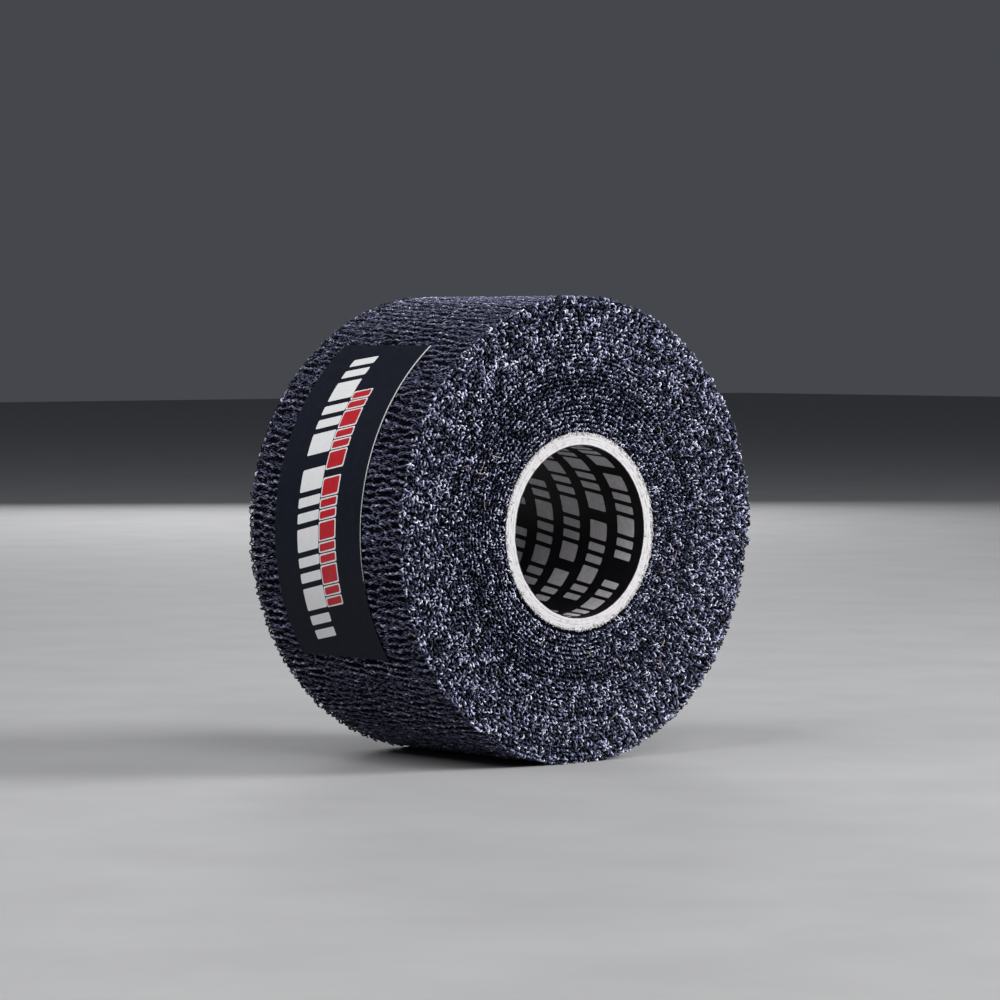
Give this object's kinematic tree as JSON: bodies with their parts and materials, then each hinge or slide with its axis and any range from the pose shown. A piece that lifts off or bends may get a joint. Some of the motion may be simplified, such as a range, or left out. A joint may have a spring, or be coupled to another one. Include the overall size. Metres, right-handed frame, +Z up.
{
  "type": "grip tape roll",
  "caption": "Roll of black elastic crepe grip tape wound on a hollow board core with a printed liner, a black label on its rim and a free tape end that lifts off.",
  "frame": {"origin": "on the ground, under the middle of the roll, where the roll stands on its rim", "axes": "+Z up; the roll's axis is along Y with the front side face towards -Y; the label is towards -X and the free end of the tape towards +X"},
  "size_m": [0.0754, 0.038, 0.0749],
  "materials": {
    "crepe_cloth": "fuzzy elastic crepe with looped cut edges",
    "label_paper": "satin print",
    "liner_paper": "satin print",
    "white_board": "matt cut board"
  },
  "bodies": {
    "roll": {"tape_strip": "crepe_cloth", "label": "label_paper", "core_liner": "liner_paper", "core_ply_1": "white_board", "core_ply_2": "white_board", "core_ply_3": "white_board", "core_ply_4": "white_board"},
    "tail": {"tape_tail": "crepe_cloth"}
  },
  "joints": [
    {"name": "tail_lift", "type": "hinge", "parent": "roll", "child": "tail", "pos_m": [0.03112, 0, 0.0588], "axis": [0, -1, 0], "range_deg": [0, 120]}
  ]
}
